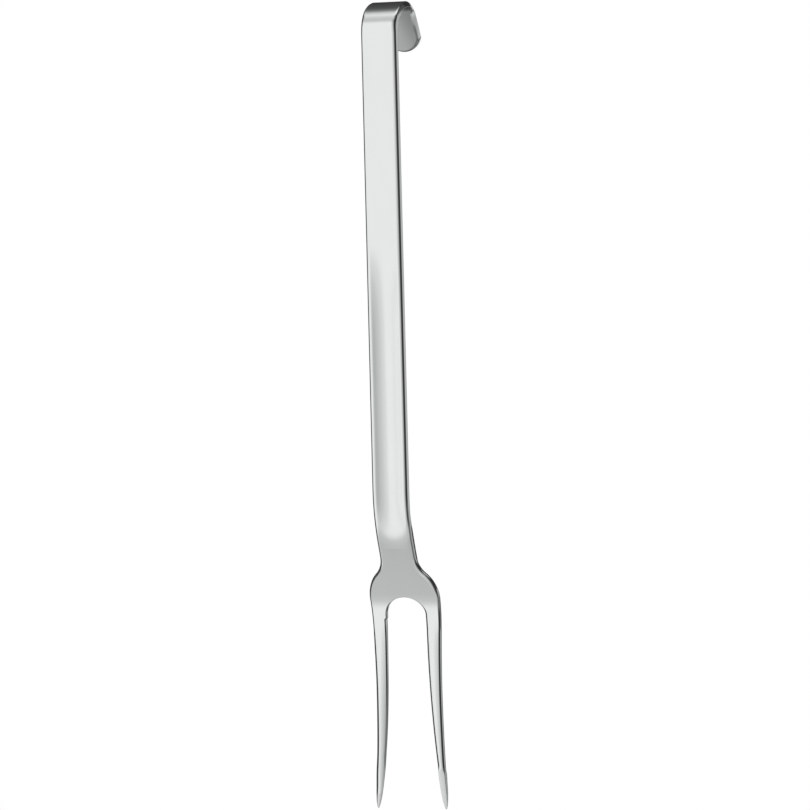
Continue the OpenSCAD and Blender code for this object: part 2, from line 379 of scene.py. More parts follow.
# %% The handle strip
LEG_END_R = ((STRIP_W / 2) ** 2 + LEG_END_RISE ** 2) / (2 * LEG_END_RISE)
END_ROWS, END_DRIFT = 40, 3.0
LAST_ROW = WELD_PLACE - weld_half - 0.3
ROW_SPANS = [
    (LEG_END_RISE + 0.4, SEAT_START, 24), (SEAT_START, SWEEP_START, 33), (SWEEP_START, HANDLE_START, 33),
    (HANDLE_START, TROUGH_START - 2, 40), (TROUGH_START - 2, TROUGH_START + 58, 60),
    (TROUGH_START + 58, CRANK_START, 40), (CRANK_START, LAST_ROW, 80)]


def leg_corner(inset):
    """Where the rounded end meets the strip's straight side, on the outline drawn in by an inset."""
    return LEG_END_R - np.sqrt((LEG_END_R - inset) ** 2 - (STRIP_W / 2 - inset) ** 2)


def handle_rows():
    """Rows of the handle: the rounded end by angle, the straight sides by distance, and the end at the weld."""
    inset, height = loop_shape(np.zeros(1))
    end_r = LEG_END_R - inset
    turn = np.linspace(0, 1, END_ROWS)[:, None] * np.arcsin((STRIP_W / 2 - inset) / end_r)
    rounded = strip_loop(end_r * np.sin(turn), LEG_END_R - end_r * np.cos(turn), height)
    rest = np.append(np.concatenate([np.linspace(*span)[:-1] for span in ROW_SPANS]), LAST_ROW)
    inset, height = loop_shape(rest)
    drift = np.clip(1 - (rest[:, None] - LEG_END_RISE) / END_DRIFT, 0, 1)
    sides = rest[:, None] + drift * (leg_corner(inset) - LEG_END_RISE)
    straight = strip_loop(STRIP_W / 2 - inset, sides, height)
    last = strip_loop(STRIP_W / 2 - inset[-1:], WELD_PLACE - weld_line(height[-1:]), height[-1:])
    root = root_loop(inset[-1:], WELD_PLACE - root_half)
    across, along, above, mark = (np.concatenate(part, 0) for part in zip(rounded, straight, last, root))
    pressed = np.where(along < LAST_ROW + 0.1, trough_depth(across, along), 0)
    return across, along, above - pressed, mark


handle_strip = closed_piece("handle_strip", [handle_rows()], "handle")

# %% [markdown]
# The weld that joins handle and head is ground flush, so on the real fork it can hardly be seen. It is still a
# piece of its own: an hourglass bar, wide at both faces and narrow at its root, with the strip's rounded edges.

# %% The neck weld
WELD_ROWS = 9


def weld_rows():
    """Rows across the weld from one side of the hourglass to the other, closed by its two root lines."""
    side = np.linspace(-1, 1, WELD_ROWS)[:, None]
    inset, height = loop_shape(np.array([WELD_PLACE]))
    rows = strip_loop(STRIP_W / 2 - inset, WELD_PLACE + side * weld_line(height), height)
    first, last = root_loop(inset, WELD_PLACE - root_half), root_loop(inset, WELD_PLACE + root_half)
    return tuple(np.concatenate(part, 0) for part in zip(first, rows, last))


neck_weld = closed_piece("neck_weld_band", [weld_rows()], "neck_weld")

# %% [markdown]
# The head is stamped from the same sheet. Its outline widens from the neck through a hollow into round shoulders,
# draws in to a waist and flares again to the points, with an arch between the tines. Half of it is drawn as rows
# from the middle line, or from the inner edge of the tine, out to the outer edge. The other half mirrors it.

# %% Outlines of the head
HEAD_W, SHOULDER_R, HOLLOW_R, NECK_LEN = 44.2, 16.8, 12.2, 0.2
WAIST_IN, WAIST_DROP, POINTS_OUT = 1.5, 47.5, 2.9
TINE_LEN, TINE_W, ARCH_RISE = 112.5, 7.4, 9.0
POINT_W, POINT_LEN, THIN_LEN, POINT_T, THIN_POWER = 2.6, 10.0, 26.0, 0.9, 1.3
weld_low = float(lay(0.0, WELD_PLACE + weld_half, STRIP_T / 2)[2] / MM)
hollow_x, shoulder_x = STRIP_W / 2 + HOLLOW_R, HEAD_W / 2 - SHOULDER_R
hollow_z = weld_low - NECK_LEN
shoulder_z = hollow_z - math.sqrt((SHOULDER_R + HOLLOW_R) ** 2 - (hollow_x - shoulder_x) ** 2)
meet_z = hollow_z - HOLLOW_R * (hollow_z - shoulder_z) / (SHOULDER_R + HOLLOW_R)
waist_half, waist_z = HEAD_W / 2 - WAIST_IN, shoulder_z - WAIST_DROP
gap_half = HEAD_W / 2 - WAIST_IN - TINE_W
gap_z, point_z = shoulder_z - ARCH_RISE, shoulder_z - TINE_LEN
waist_reach = SHOULDER_R - WAIST_IN
waist_r = (waist_reach ** 2 + WAIST_DROP ** 2 - SHOULDER_R ** 2) / (2 * WAIST_IN)
turn_z = shoulder_z - SHOULDER_R * WAIST_DROP / (waist_r + SHOULDER_R)


def outer_edge(z):
    """Half width at a height: hollow, shoulder and waist circles in turn, then a parabola to the point."""
    hollow = hollow_x - np.sqrt(np.maximum(HOLLOW_R ** 2 - (z - hollow_z) ** 2, 0))
    shoulder = shoulder_x + np.sqrt(np.maximum(SHOULDER_R ** 2 - (z - shoulder_z) ** 2, 0))
    waist = waist_half + sagitta(waist_r, z - waist_z)
    tine = waist_half + POINTS_OUT * ((waist_z - z) / (waist_z - point_z)) ** 2
    zones = [z > hollow_z, z > meet_z, z > turn_z, z > waist_z]
    return np.select(zones, [STRIP_W / 2 + 0 * z, hollow, shoulder, waist], tine)


def inner_edge(z):
    """Inner edge of a tine at a height: a parabola that flares from the arch's width to the point."""
    return gap_half + (TINE_W + POINTS_OUT - POINT_W) * ((gap_z - z) / (gap_z - point_z)) ** 2


def closing(z):
    """How far the ground point has closed: 1 above it, down a quarter ellipse to 0 at its tip."""
    return np.sqrt(np.clip(1 - np.clip(1 - (z - point_z) / POINT_LEN, 0, 1) ** 2, 0, 1))


def thickness(z, thin_len):
    """Thickness of the sheet at a height: even, thinning along a shallow curve to the point, closed at its tip."""
    left = np.clip(1 - (z - point_z) / thin_len, 0, 1)
    return between(STRIP_T, POINT_T, left ** THIN_POWER) * closing(z)


print("shoulders at", round(shoulder_z, 1), "waist at", round(waist_z, 1), "points at", round(point_z, 1), "mm")

# %% [markdown]
# The head was ground by hand, so its two halves differ. One tine is slimmer below the arch, where the wheel left a
# small step, and swells a little outside. The arch was ground slightly higher than it was stamped. A sculpt brush
# could make such marks, but a formula with a named size for each mark can be changed later. The rows go down the
# neck, round the arch by angle and down the tine, with more of them at the step and towards the point.

# %% Hand-ground outline of one half
HEAD_COLS, NECK_ROWS, ARCH_ROWS, STEP_ROWS, TINE_ROWS, POINT_CROWDING = 30, 70, 44, 9, 130, 1.7
ARCH_LIFT = 0.85
STEP_Z, STEP_LEN, STEP_OUT, STEP_MARGIN = -325.5, 1.2, 1.0, 0.15
SLIM_LEN, LOW_SLIM_UP, LOW_SLIM_RUN, LOW_SLIM_END, LOW_SLIM_FADE = 75.0, 20.0, 50.0, 2.0, 22.0
SWELL_BELOW, SWELL_LEN, TIP_SWELL_ABOVE, TIP_SWELL_LEN = 10.0, 22.0, 18.0, 10.0
arch_top = shoulder_z + ARCH_LIFT
head_top = float(lay(0.0, WELD_PLACE + weld_half, 0.0)[2] / MM)
ARCH_TURN = np.linspace(np.pi / 2, 0, ARCH_ROWS)[1:]
step_z = STEP_Z - np.linspace(-STEP_MARGIN, STEP_LEN + STEP_MARGIN, STEP_ROWS)
down_z = point_z + (gap_z - point_z) * np.linspace(1, 0, TINE_ROWS)[1:] ** POINT_CROWDING
NECK_Z = np.concatenate([np.linspace(head_top, hollow_z, 3)[:-1], np.linspace(hollow_z, arch_top, NECK_ROWS)])
ARCH_Z = gap_z + (arch_top - gap_z) * np.sin(ARCH_TURN)
TINE_Z = np.concatenate([down_z[down_z > step_z[0] + 0.1], step_z, down_z[down_z < step_z[-1] - 0.1]])
ROW_Z, TOP_ROW = np.concatenate([NECK_Z, ARCH_Z, TINE_Z]), len(NECK_Z) - 1
ROW_ALONG = along_at(ROW_Z)


def above_step(z):
    """1 above the step below the arch, falling softly to 0 under it."""
    return 1 - smooth((STEP_Z - z) / STEP_LEN)


def swell(z, centre, length):
    """A soft bump of height 1 about a height: a bell curve."""
    return np.exp(-((z - centre) / length) ** 2)


def half_outline(slim, low_slim, bulge, tip_bulge, undercut):
    """Middle line and half width by row: the stamped outlines, plus what grinding took away or left."""
    low = smooth((waist_z + LOW_SLIM_UP - TINE_Z) / LOW_SLIM_RUN)
    low = low * smooth((TINE_Z - point_z - LOW_SLIM_END) / LOW_SLIM_FADE)
    taken = slim * (1 - smooth((gap_z - TINE_Z) / SLIM_LEN)) + low_slim * low
    left_on = STEP_OUT * undercut
    outer = outer_edge(ROW_Z) + bulge * swell(ROW_Z, gap_z - SWELL_BELOW, SWELL_LEN)
    outer += tip_bulge * swell(ROW_Z, point_z + TIP_SWELL_ABOVE, TIP_SWELL_LEN)
    arch = (gap_half + slim - left_on) * np.cos(ARCH_TURN)
    tine = inner_edge(TINE_Z) + taken - left_on * above_step(TINE_Z)
    inner = np.concatenate([0 * NECK_Z, arch, tine])
    return (outer + inner) / 2, (outer - inner) / 2 * np.where(ROW_Z < gap_z, closing(ROW_Z), 1.0)


print("head in", len(ROW_Z), "rows, of which", len(TINE_Z), "are on the tine")

# %% [markdown]
# The edges were ground differently too: bevels on one side of each tine, crisp corners on the other, sides that
# lean in towards the back, and an undercut at one end of the arch. The faces of the tines are slightly crowned.
# Towards the point a corner has less room, so an end says what share of the width it may reach there, how far above
# the point that share begins to grow, and over what length.

# %% Ground edges of one half
BROAD, TIGHT, CRISP, ARCH = (1.7, 0.42), (1.0, 0.15), (0.65, 0.18), (0.2, 0.06)
LEAN, UNDERCUT = (1.0, 0.6), (2.2, 0.72)
FINE_END, BROAD_END, LONG_END = (0.06, 18.0, 6.0), (0.36, 3.0, 8.0), (0.08, 20.0, 30.0)
LEAN_LEN, UNDERCUT_RUN, CROWN_RUN = 9.0, 4.0, 18.0
CROWN, HEAD_BEVEL = 0.2, 0.85
MOST_REACH, MOST_DROP, BOTH_DROPS, FULL_PROUD = 0.45, 0.6, 0.97, 2.5
LEANING = smooth((hollow_z - ROW_Z) / LEAN_LEN)


def ground_edge(front, back, end, half, thick, proud, crown, bevel):
    """The profile of one edge by row, its reach held to a share of the width that falls towards the point."""
    (reach, drop), (behind, behind_drop), (share, start, run) = front, back, end
    widest = 2 * half * between(share, MOST_REACH, smooth((ROW_Z - point_z - start) / run))
    kept = np.minimum(1, widest / reach)
    drop = np.minimum(drop * STRIP_T / thick, MOST_DROP) * np.sqrt(kept)
    behind = np.minimum(behind, widest), np.minimum(behind_drop, BOTH_DROPS - drop)
    proud = proud * np.minimum(1, half / FULL_PROUD)
    return edge_profile((reach * kept, drop), behind, thick, proud, crown, bevel, 1 - LEANING)


def half_edges(half, outer, inner, outer_end, inner_end, grind_len, thin_len, undercut):
    """Inset and height of the outer and the inner edge by row, and the crown of the face between them."""
    thick = thickness(ROW_Z, thin_len)
    crown = np.where(ROW_Z < gap_z, CROWN * smooth((gap_z - ROW_Z) / CROWN_RUN) * half / (TINE_W / 2), 0)
    ground, past_arch = smooth((hollow_z - ROW_Z) / grind_len), smooth((arch_top - ROW_Z) / ARCH_RISE)
    cut = undercut * above_step(ROW_Z) * smooth((arch_top - ROW_Z) / UNDERCUT_RUN)
    back = blend_pair(NECK_BACK, LEAN, LEANING)
    outside = ground_edge(
        blend_pair(GRIP_FRONT, outer, ground), back, outer_end, half, thick, EDGE_PROUD, crown, HEAD_BEVEL * ground)
    inside = ground_edge(
        blend_pair(ARCH, inner, past_arch), blend_pair(back, UNDERCUT, cut), inner_end, half, thick,
        EDGE_PROUD * past_arch, crown, HEAD_BEVEL)
    return outside, inside, crown


print("undercut reaches", UNDERCUT[0], "mm behind the arch's end")

# %% [markdown]
# Outline and edges now make the skin of one half: across the front, down the outer edge and back across the rear.
# An edge is drawn in square to the outline, so that a corner keeps its reach where the outline turns. A tine may be
# twisted about its own middle.

# %% Skin of one half
HEAD_SHARE = (face_spread(HEAD_COLS) + 1) / 2


def inward(across, along, towards):
    """Unit normals of an outline, square to its run, on the side that towards names (1 or -1 across)."""
    run_x, run_s = np.gradient(across), np.gradient(along)
    length = np.maximum(np.hypot(run_x, run_s), 1e-9)
    return np.stack([towards * np.abs(run_s), -towards * run_x * np.sign(run_s + 1e-12)], -1) / length[:, None]


def twisted(grid, middle, angle):
    """A grid whose rows are turned about the tine's middle line, each by its own angle."""
    across, along, above, mark = grid
    middle, cosine, sine = middle[:, None], np.cos(angle)[:, None], np.sin(angle)[:, None]
    side = across - middle
    return middle + side * cosine + above * sine, along, above * cosine - side * sine, mark


def across_face(inner, outer, side):
    """Places across a face, from the inner edge to the outer one: side 0 is the front, and -1 the back."""
    return inner[:, side, None] + HEAD_SHARE * (outer[:, side] - inner[:, side])[:, None]


def round_half(inner, outer):
    """Places round a half by row: across the front, down the outer edge, and back across the rear."""
    return np.concatenate([across_face(inner, outer, 0), outer, across_face(inner, outer, -1)[:, ::-1]], 1)


print("skin of", 2 * HEAD_COLS + len(EDGE_MARK), "points a row")

# %% [markdown]
# The inner edge of arch and tine is a second grid. One tine is twisted more than the other and is thinner towards
# its point, so a Mirror modifier would not do: each half has its own values, and the left one is mirrored after it
# is made.

# %% The fork head
TWIST_ABOVE, TWIST_RUN, UNTWIST_ABOVE, UNTWIST_RUN, UNTWIST = 35.0, 60.0, 22.0, 16.0, 0.5


def half_grids(outline, edges, twist):
    """Grids of one half: its skin, closed by the weld's root line, and the inner edge of arch and tine."""
    middle, half = half_outline(**outline, undercut=edges["undercut"])
    (outer_inset, outer_height), (inner_inset, inner_height), crown = half_edges(half, **edges)
    into_outer = inward(middle + half, ROW_ALONG, -1)
    into_inner = inward((middle - half)[TOP_ROW:], ROW_ALONG[TOP_ROW:], 1)
    into_inner[0] = (0.0, -1.0)
    outer_x = (middle + half)[:, None] + outer_inset * into_outer[:, :1]
    outer_s = ROW_ALONG[:, None] + outer_inset * into_outer[:, 1:]
    rim_x = (middle - half)[TOP_ROW:, None] + inner_inset[TOP_ROW:] * into_inner[:, :1]
    rim_s = ROW_ALONG[TOP_ROW:, None] + inner_inset[TOP_ROW:] * into_inner[:, 1:]
    neck_s = ROW_ALONG[:TOP_ROW, None]
    pull = ((neck_s - ROW_ALONG[0]) / (ROW_ALONG[TOP_ROW] - ROW_ALONG[0])) ** 4
    inner_x = np.vstack([0 * pull + 0 * rim_x[:1], rim_x])
    inner_s = np.vstack([neck_s - pull * inner_inset[TOP_ROW], rim_s])

    plain = np.zeros((len(ROW_Z), HEAD_COLS))
    front = outer_height[:, :1] + crown[:, None] * (1 - (2 * HEAD_SHARE - 1) ** 2)
    above = np.concatenate([front, outer_height, plain + outer_height[:, -1:]], 1)
    mark = np.concatenate([plain, EDGE_MARK + 0 * outer_x, plain], 1)
    turn = math.radians(twist) * smooth((waist_z + TWIST_ABOVE - ROW_Z) / TWIST_RUN)
    turn = turn * (1 - UNTWIST * smooth((point_z + UNTWIST_ABOVE - ROW_Z) / UNTWIST_RUN))
    skin = twisted((round_half(inner_x, outer_x), round_half(inner_s, outer_s), above, mark), middle, turn)
    rim = (rim_x, rim_s, inner_height[TOP_ROW:], EDGE_MARK + 0 * rim_x)
    skin[1][0] = WELD_PLACE + weld_line(skin[2][0])
    folded = (skin[0][0] + skin[0][0][::-1]) / 2
    root = (folded, 0 * folded + WELD_PLACE + root_half, 0 * folded, mark[0])
    closed = [np.vstack([first, rest]) for first, rest in zip(root, skin)]
    return [closed, twisted(rim, middle[TOP_ROW:], turn[TOP_ROW:])]


right_half = half_grids(
    dict(slim=-0.4, low_slim=0.0, bulge=0.0, tip_bulge=0.0),
    dict(outer=TIGHT, inner=BROAD, outer_end=FINE_END, inner_end=FINE_END,
         grind_len=34.0, thin_len=THIN_LEN, undercut=0.0), twist=2.0)
left_half = half_grids(
    dict(slim=0.75, low_slim=-0.35, bulge=0.6, tip_bulge=0.35),
    dict(outer=BROAD, inner=CRISP, outer_end=BROAD_END, inner_end=LONG_END,
         grind_len=9.0, thin_len=55.0, undercut=1.0), twist=-7.0)
left_half = [(-across, along, above, mark) for across, along, above, mark in left_half]
fork_plate = closed_piece("fork_plate", right_half + left_half, "fork_head", sharp=20.0)

# %% [markdown]
# The steel has a fine grain from belt grinding that runs along the strip, round the hook and down the tines.
# One node group makes that grain from each piece's own strip places, so all three pieces share it. Nodes could be
# placed by hand in the editor. In a script a few small makers keep each node to one line.

# %% Small makers of nodes
def new_group(name, inputs, outputs):
    """An empty shader node group with named number or vector inputs and outputs."""
    group = bpy.data.node_groups.new(name, "ShaderNodeTree")
    for socket, kind, default in inputs:
        made = group.interface.new_socket(socket, in_out="INPUT", socket_type=kind)
        made.default_value = default
    for socket, kind in outputs:
        group.interface.new_socket(socket, in_out="OUTPUT", socket_type=kind)
    return group, group.nodes.new("NodeGroupInput"), group.nodes.new("NodeGroupOutput")


def math_node(tree, kind, first, second=0.5, third=0.5, clamp=False):
    """A Math node whose values are numbers or other nodes' sockets, held between 0 and 1 where clamp is set."""
    node = tree.nodes.new("ShaderNodeMath")
    node.operation, node.use_clamp = kind, clamp
    for socket, value in zip(node.inputs, (first, second, third)):
        if isinstance(value, (int, float)):
            socket.default_value = value
        else:
            tree.links.new(value, socket)
    return node.outputs[0]


def noise_node(tree, vector, scale, detail):
    """A Noise Texture's value, with its own scale and detail."""
    node = tree.nodes.new("ShaderNodeTexNoise")
    node.inputs["Scale"].default_value = scale
    node.inputs["Detail"].default_value = detail
    tree.links.new(vector, node.inputs["Vector"])
    return node.outputs[0]


def stretched(tree, vector, scale):
    """A vector multiplied by a fixed stretch along each axis."""
    node = tree.nodes.new("ShaderNodeVectorMath")
    node.operation = "MULTIPLY"
    node.inputs[1].default_value = scale
    tree.links.new(vector, node.inputs[0])
    return node.outputs[0]


print("makers ready for", ", ".join(maker.__name__ for maker in (new_group, math_node, noise_node, stretched)))

# %% [markdown]
# Now the group itself. The lines are noise that is stretched along the strip, and the patches are soft noise where
# hands have rubbed. Edges are polished by wear. The points were ground last and are duller below a slanted line,
# and so is the inside of the hook, which no belt reaches.

# %% What the grain group puts out
LINE_STRETCH, PATCH_STRETCH = (6000, 90, 400), (70, 28, 70)
LINE_DETAIL, PATCH_DETAIL, TONE_DEPTH = 3.0, 2.0, 0.06
GROUND_EDGE, INSIDE_EDGE, BEHIND_EDGE, BEHIND_START = 700.0, 150.0, -3000.0, -2.0
GRAIN_VALUES = [("Base Roughness", 0.12), ("Line Depth", 0.05), ("Patch Depth", 0.03), ("Edge Polish", 0.06),
                ("Ground From", 1.0), ("Ground Slant", 0.33), ("Ground Roughness", 0.34),
                ("Inside To", 0.0), ("Inside Roughness", 0.30)]


def grain_group():
    """Roughness, line height and tone: a base, plus lines and patches, less polish, then the duller zones."""
    inputs = [("Place", "NodeSocketVector", (0, 0, 0)), ("Edge", "NodeSocketFloat", 0.0)]
    inputs += [(name, "NodeSocketFloat", value) for name, value in GRAIN_VALUES]
    outputs = [(name, "NodeSocketFloat") for name in ("Roughness", "Height", "Tone")]
    group, group_in, made = new_group("steel_grain", inputs, outputs)
    given = group_in.outputs
    lines = noise_node(group, stretched(group, given["Place"], LINE_STRETCH), 1.0, LINE_DETAIL)
    patches = noise_node(group, stretched(group, given["Place"], PATCH_STRETCH), 1.0, PATCH_DETAIL)
    patches, ridges = math_node(group, "SUBTRACT", patches), math_node(group, "SUBTRACT", lines)
    rough = math_node(group, "MULTIPLY_ADD", ridges, given["Line Depth"], given["Base Roughness"])
    rough = math_node(group, "MULTIPLY_ADD", patches, given["Patch Depth"], rough)
    polish = math_node(group, "MULTIPLY", given["Edge"], given["Edge Polish"])
    rough = math_node(group, "SUBTRACT", rough, polish)
    parts = group.nodes.new("ShaderNodeSeparateXYZ")
    group.links.new(given["Place"], parts.inputs[0])
    across, along, above = parts.outputs
    slanted = math_node(group, "MULTIPLY_ADD", across, given["Ground Slant"], along)
    past = math_node(group, "SUBTRACT", slanted, given["Ground From"])
    ground = math_node(group, "MULTIPLY", past, GROUND_EDGE, clamp=True)
    missing = math_node(group, "SUBTRACT", given["Ground Roughness"], rough)
    rough = math_node(group, "MULTIPLY_ADD", ground, missing, rough)
    before = math_node(group, "SUBTRACT", given["Inside To"], along)
    before = math_node(group, "MULTIPLY", before, INSIDE_EDGE, clamp=True)
    behind = math_node(group, "MULTIPLY_ADD", above, BEHIND_EDGE, BEHIND_START, clamp=True)
    missing = math_node(group, "SUBTRACT", given["Inside Roughness"], rough)
    rough = math_node(group, "MULTIPLY_ADD", math_node(group, "MULTIPLY", before, behind), missing, rough)
    group.links.new(rough, made.inputs["Roughness"])
    group.links.new(lines, made.inputs["Height"])
    group.links.new(math_node(group, "MULTIPLY_ADD", patches, TONE_DEPTH, 1.0), made.inputs["Tone"])
    return group


GRAIN = grain_group()
print("group", GRAIN.name, "with", len(GRAIN.nodes), "nodes")

# %% [markdown]
# Bare stainless steel is a metal without any coat. Its colour is what it reflects, slightly cool and never quite
# white. The handle is satin from long use, the tines are ground brighter, and the weld was blended by hand.

# %% Steel finishes
STEEL_COLOUR = (0.752, 0.772, 0.765)
HANDLE_ROUGH, HEAD_ROUGH, WELD_ROUGH = 0.12, 0.11, 0.115
LINE_DEPTH, BUMP_STRENGTH, BUMP_DEPTH = 0.06, 0.15, 0.00001
GROUND_Z = -412.0
GROUND_FROM, INSIDE_TO = float(along_at(GROUND_Z)) * MM, float(SWEEP_START) * MM


def attribute_node(tree, name, socket):
    """The output of an Attribute node that reads one of the mesh's own attributes."""
    node = tree.nodes.new("ShaderNodeAttribute")
    node.attribute_name = name
    return node.outputs[socket]


def steel(name, roughness, ground_from=1.0, inside_to=0.0):
    """A bare metal whose roughness and fine bump come from the grain group, and whose colour varies a little."""
    material = bpy.data.materials.new(name)
    material.use_nodes = True
    tree = material.node_tree
    shader = tree.nodes["Principled BSDF"]
    shader.inputs["Metallic"].default_value = 1.0
    grain = tree.nodes.new("ShaderNodeGroup")
    grain.node_tree = GRAIN
    for socket, value in (("Base Roughness", roughness), ("Line Depth", LINE_DEPTH),
                          ("Ground From", ground_from), ("Inside To", inside_to)):
        grain.inputs[socket].default_value = value
    tree.links.new(attribute_node(tree, "strip_place", "Vector"), grain.inputs["Place"])
    tree.links.new(attribute_node(tree, "edge", "Fac"), grain.inputs["Edge"])
    tree.links.new(grain.outputs["Roughness"], shader.inputs["Roughness"])
    tone = tree.nodes.new("ShaderNodeVectorMath")
    tone.operation = "SCALE"
    tone.inputs[0].default_value = STEEL_COLOUR
    tree.links.new(grain.outputs["Tone"], tone.inputs["Scale"])
    tree.links.new(tone.outputs[0], shader.inputs["Base Color"])
    lines = tree.nodes.new("ShaderNodeBump")
    lines.inputs["Strength"].default_value = BUMP_STRENGTH
    lines.inputs["Distance"].default_value = BUMP_DEPTH
    tree.links.new(grain.outputs["Height"], lines.inputs["Height"])
    tree.links.new(lines.outputs["Normal"], shader.inputs["Normal"])
    return material


handle_strip.data.materials.append(steel("satin_handle_steel", HANDLE_ROUGH, inside_to=INSIDE_TO))
fork_plate.data.materials.append(steel("ground_head_steel", HEAD_ROUGH, ground_from=GROUND_FROM))
neck_weld.data.materials.append(steel("blended_weld_steel", WELD_ROUGH))
print("finishes:", [m.name for m in bpy.data.materials if m.name.endswith("steel")])

# %% [markdown]
# Polished metal shows its surroundings more than itself, so the light is built like a product photographer's tent:
# a sphere of cloth round the fork that glows by direction. Lamps would give hot spots that slide over the bends.
# Each soft change of brightness is a Color Ramp. Its points are put in place first and get their greys afterwards,
# in order.

# %% A ramp over a range of values
ROUND_RANGE, UP_RANGE = (-180, 180), (-90, 90)


def ramp_node(tree, value, low, high, stops):
    """A grey Color Ramp read over a range of a value: stops are (value, brightness) pairs."""
    span = tree.nodes.new("ShaderNodeMapRange")
    span.inputs["From Min"].default_value, span.inputs["From Max"].default_value = low, high
    tree.links.new(value, span.inputs["Value"])
    ramp = tree.nodes.new("ShaderNodeValToRGB")
    ramp.color_ramp.interpolation = "EASE"
    points = ramp.color_ramp.elements
    while len(points) < len(stops):
        points.new(1.0)
    for point, (at, _) in zip(points, stops):
        point.position = (at - low) / (high - low)
    for point, (_, grey) in zip(points, stops):
        point.color = (grey, grey, grey, 1)
    tree.links.new(span.outputs["Result"], ramp.inputs["Fac"])
    return ramp.outputs["Color"]


print("ramps read", ROUND_RANGE, "degrees round the fork and", UP_RANGE, "degrees up")

# %% [markdown]
# Six cloths are added up. Each has a brightness round the horizon, in degrees from the fork's front with its right
# side positive, and a reach up and down, in degrees above level. The wall is bright at the front left, and the
# screen is greyer beside and behind the fork. The roof and a lamp light the top of the hook, and an apron and the
# ground give back a little from below. The gaps that they leave show in the rounded edges as thin dark lines.

# %% Cloths of the light tent
AROUND = [(-180, 0.05), (-150, 0.05), (-100, 0.07), (-69, 0.09), (-62, 1.03), (-58, 1.05), (-53, 0.98),
          (-42, 1.05), (-35, 1.05), (-26, 0.86), (-17, 0.71), (-9, 0.56), (-3, 0.38), (3, 0.18), (9, 0.07),
          (16, 0.04), (180, 0.04)]
WALL = [(-90, 0), (-23.6, 0), (-18, 1), (18, 1), (25, 0.74), (31, 0.33), (36, 0), (90, 0)]
BESIDE = [(-180, 0.55), (-130, 0.55), (-115, 0), (58, 0), (72, 0.20), (84, 0.44), (140, 0.54), (150, 0.52),
          (155, 0.18), (160, 0.03), (169, 0.03), (176, 0.45), (180, 0.55)]
SCREEN = [(-90, 0), (-25, 0), (-19, 1), (12, 1), (17, 0.1), (30, 0), (90, 0)]
ROOF = [(-180, 0.06), (-125, 0.07), (-96, 0.10), (-80, 0.21), (-73, 0.34), (-66, 0.62), (-61, 0.80),
        (-52, 1.0), (-20, 1.0), (15, 0.2), (45, 0.05), (180, 0.05)]
OVERHEAD = [(-90, 0), (25, 0), (31, 0.30), (35, 0.72), (45, 1), (90, 1)]
LAMP = [(-180, 0), (-15, 0), (15, 0.9), (85, 0.9), (108, 0), (180, 0)]
HIGH = [(-90, 0), (39, 0), (47, 1), (58, 1), (70, 0), (90, 0)]
APRON = [(-180, 0), (22, 0), (34, 0.14), (62, 0.14), (74, 0), (180, 0)]
SKIRT = [(-90, 1), (-36, 1), (-30, 0.6), (-23, 1), (-12, 1), (-7.5, 0), (90, 0)]
GROUND = [(-180, 0.7), (-135, 0.75), (-105, 0.4), (-80, 0.5), (-55, 1.0), (-5, 1.0), (18, 0.2), (62, 0.2),
          (80, 1.0), (100, 1.1), (135, 0.9), (147, 0.3), (157, 0.1), (168, 0.1), (180, 0.7)]
LOW = [(-90, 0.42), (-66, 0.42), (-58, 0.06), (-45, 0.22), (-38, 0.50), (-32, 0.60), (-28.6, 0.545),
       (-27.6, 0.57), (-26.4, 0.65), (-23.6, 0.67), (-18, 0), (90, 0)]
CLOTHS = [(AROUND, WALL), (BESIDE, SCREEN), (ROOF, OVERHEAD), (LAMP, HIGH), (APRON, SKIRT), (GROUND, LOW)]


def tent_material():
    """Brightness by direction: the sum over the cloths of brightness round the horizon times reach up and down."""
    material = bpy.data.materials.new("tent_cloth")
    material.use_nodes = True
    tree = material.node_tree
    tree.nodes.remove(tree.nodes["Principled BSDF"])
    place = tree.nodes.new("ShaderNodeTexCoord")
    way = tree.nodes.new("ShaderNodeVectorMath")
    way.operation = "NORMALIZE"
    tree.links.new(place.outputs["Object"], way.inputs[0])
    parts = tree.nodes.new("ShaderNodeSeparateXYZ")
    tree.links.new(way.outputs[0], parts.inputs[0])
    x, y, z = parts.outputs
    forward = math_node(tree, "MULTIPLY", y, -1.0)
    round_angle = math_node(tree, "DEGREES", math_node(tree, "ARCTAN2", x, forward))
    up_angle = math_node(tree, "DEGREES", math_node(tree, "ARCSINE", z))
    total = 0.0
    for around, upward in CLOTHS:
        brightness = ramp_node(tree, round_angle, *ROUND_RANGE, around)
        reach = ramp_node(tree, up_angle, *UP_RANGE, upward)
        total = math_node(tree, "MULTIPLY_ADD", brightness, reach, total)
    glow = tree.nodes.new("ShaderNodeEmission")
    tree.links.new(total, glow.inputs["Strength"])
    tree.links.new(glow.outputs[0], tree.nodes["Material Output"].inputs["Surface"])
    return material


tent_cloth = tent_material()
print(tent_cloth.name, "of", len(CLOTHS), "cloths in", len(tent_cloth.node_tree.nodes), "nodes")

# %% [markdown]
# The tent itself is a wide sphere. The camera looks through it, and it lights only what reflects it. A world
# texture could do the same, but then the white behind the fork would have to be a part of it.

# %% The light tent
TENT_R, TENT_RINGS, TENT_SIDES = 6.0, 48, 96


